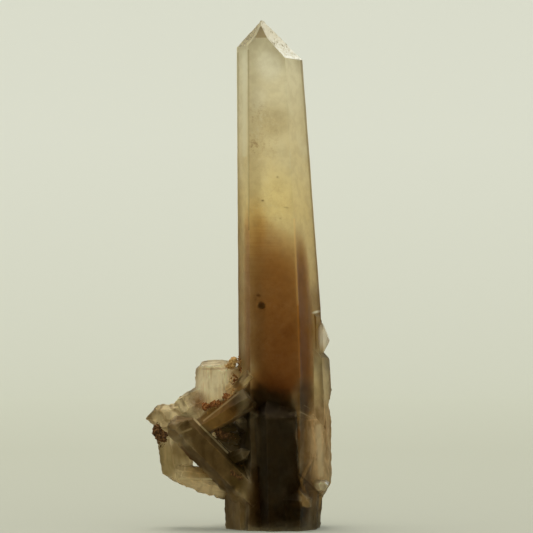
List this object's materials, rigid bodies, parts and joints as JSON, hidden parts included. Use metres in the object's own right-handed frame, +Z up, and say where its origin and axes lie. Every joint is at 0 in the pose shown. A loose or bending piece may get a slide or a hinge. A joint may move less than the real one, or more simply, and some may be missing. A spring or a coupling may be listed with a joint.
{
  "type": "smoky quartz point",
  "caption": "Tall smoky quartz point with smaller crystals and iron oxide crusts grown round its foot, cut flat underneath so that it stands upright.",
  "frame": {"origin": "centre of the flat foot, under the main point's trunk", "axes": "+Z up along the main point, -Y towards the front with the point's broad face, -X towards the cluster of small crystals"},
  "size_m": [0.0548, 0.0306, 0.1497],
  "materials": {
    "smoky_quartz": "translucent smoky brown, frosted by natural etching",
    "ochre_iron_oxide": "crumbly matt ochre",
    "rust_iron_oxide": "crumbly matt dark red-brown"
  },
  "bodies": {
    "root": {"quartz_cluster": "smoky_quartz", "ochre_crust_top": "ochre_iron_oxide", "ochre_crust_ledge": "ochre_iron_oxide", "ochre_crust_foot": "ochre_iron_oxide", "rust_crust_tip": "rust_iron_oxide", "rust_crust_hollow": "rust_iron_oxide"}
  },
  "joints": []
}
